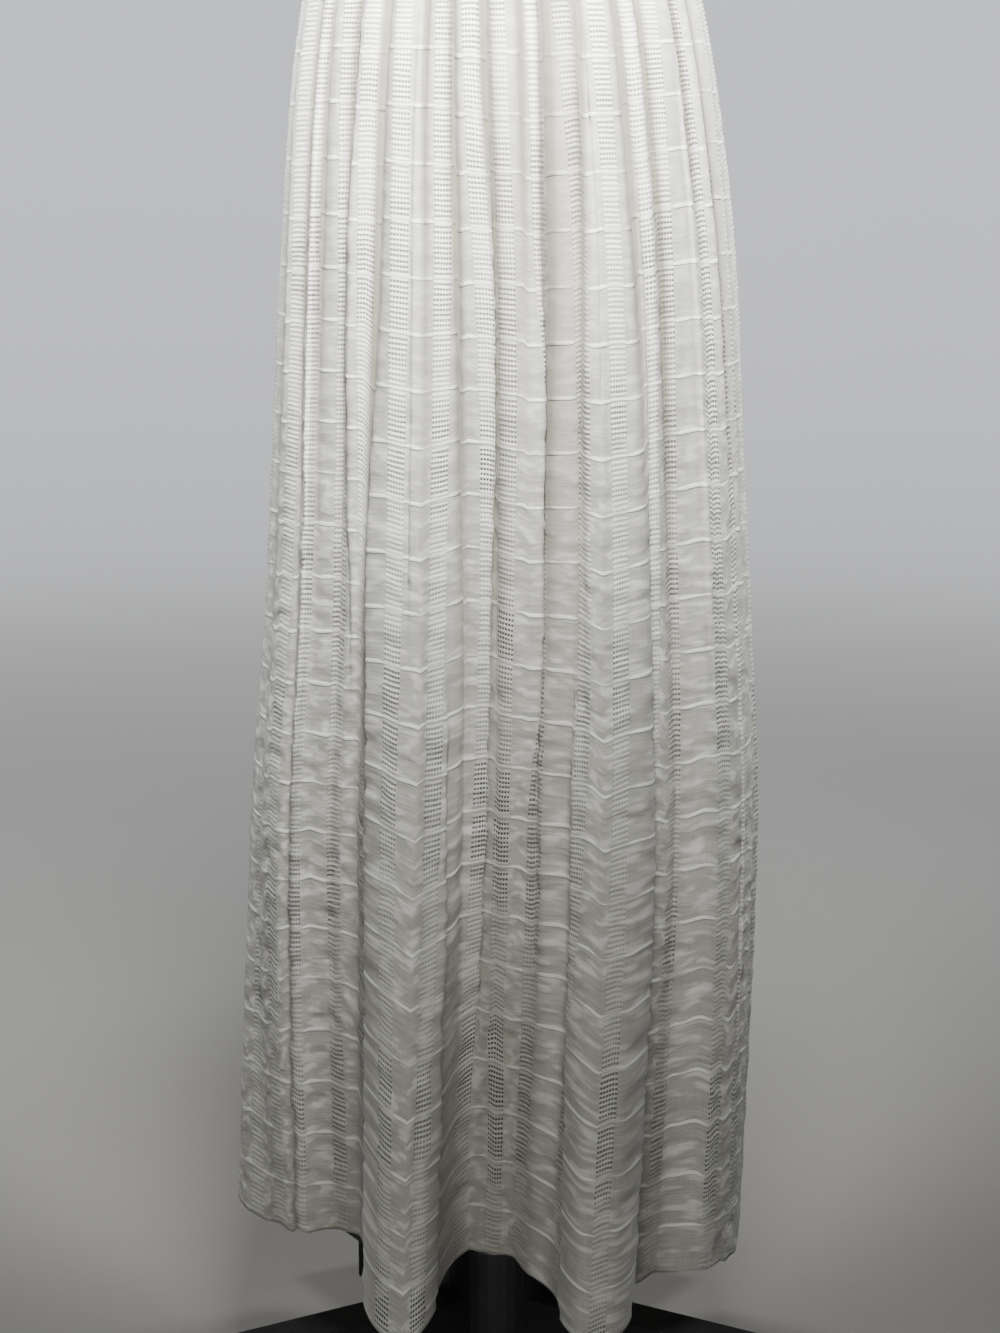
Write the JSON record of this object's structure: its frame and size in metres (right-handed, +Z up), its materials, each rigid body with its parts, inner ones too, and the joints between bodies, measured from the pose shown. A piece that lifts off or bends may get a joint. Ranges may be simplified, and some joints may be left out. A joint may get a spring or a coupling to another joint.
{
  "type": "maxi dress on a dress form",
  "caption": "Sleeveless white cotton gauze maxi dress with a gathered full-length skirt, worn by a limbless dress form on a pole and a four-legged stand.",
  "frame": {"origin": "on the floor, at the middle of the hub's flat underside", "axes": "+Z up along the pole, -Y towards the front of the dress, +X to the viewer's right"},
  "size_m": [0.4472, 0.4334, 1.69],
  "materials": {
    "gauze": "off-white cotton gauze with openwork stripes and slub cords",
    "form_cover": "plain stretched jersey",
    "black_metal": "satin black paint",
    "foot_rubber": "matte black"
  },
  "bodies": {
    "root": {"skirt_front": "gauze", "skirt_back": "gauze", "bodice_front": "gauze", "bodice_back": "gauze", "dress_form": "form_cover", "pole": "black_metal", "hub": "black_metal", "leg_1": "black_metal", "leg_2": "black_metal", "leg_3": "black_metal", "leg_4": "black_metal", "foot_1": "foot_rubber", "foot_2": "foot_rubber", "foot_3": "foot_rubber", "foot_4": "foot_rubber"}
  },
  "joints": []
}
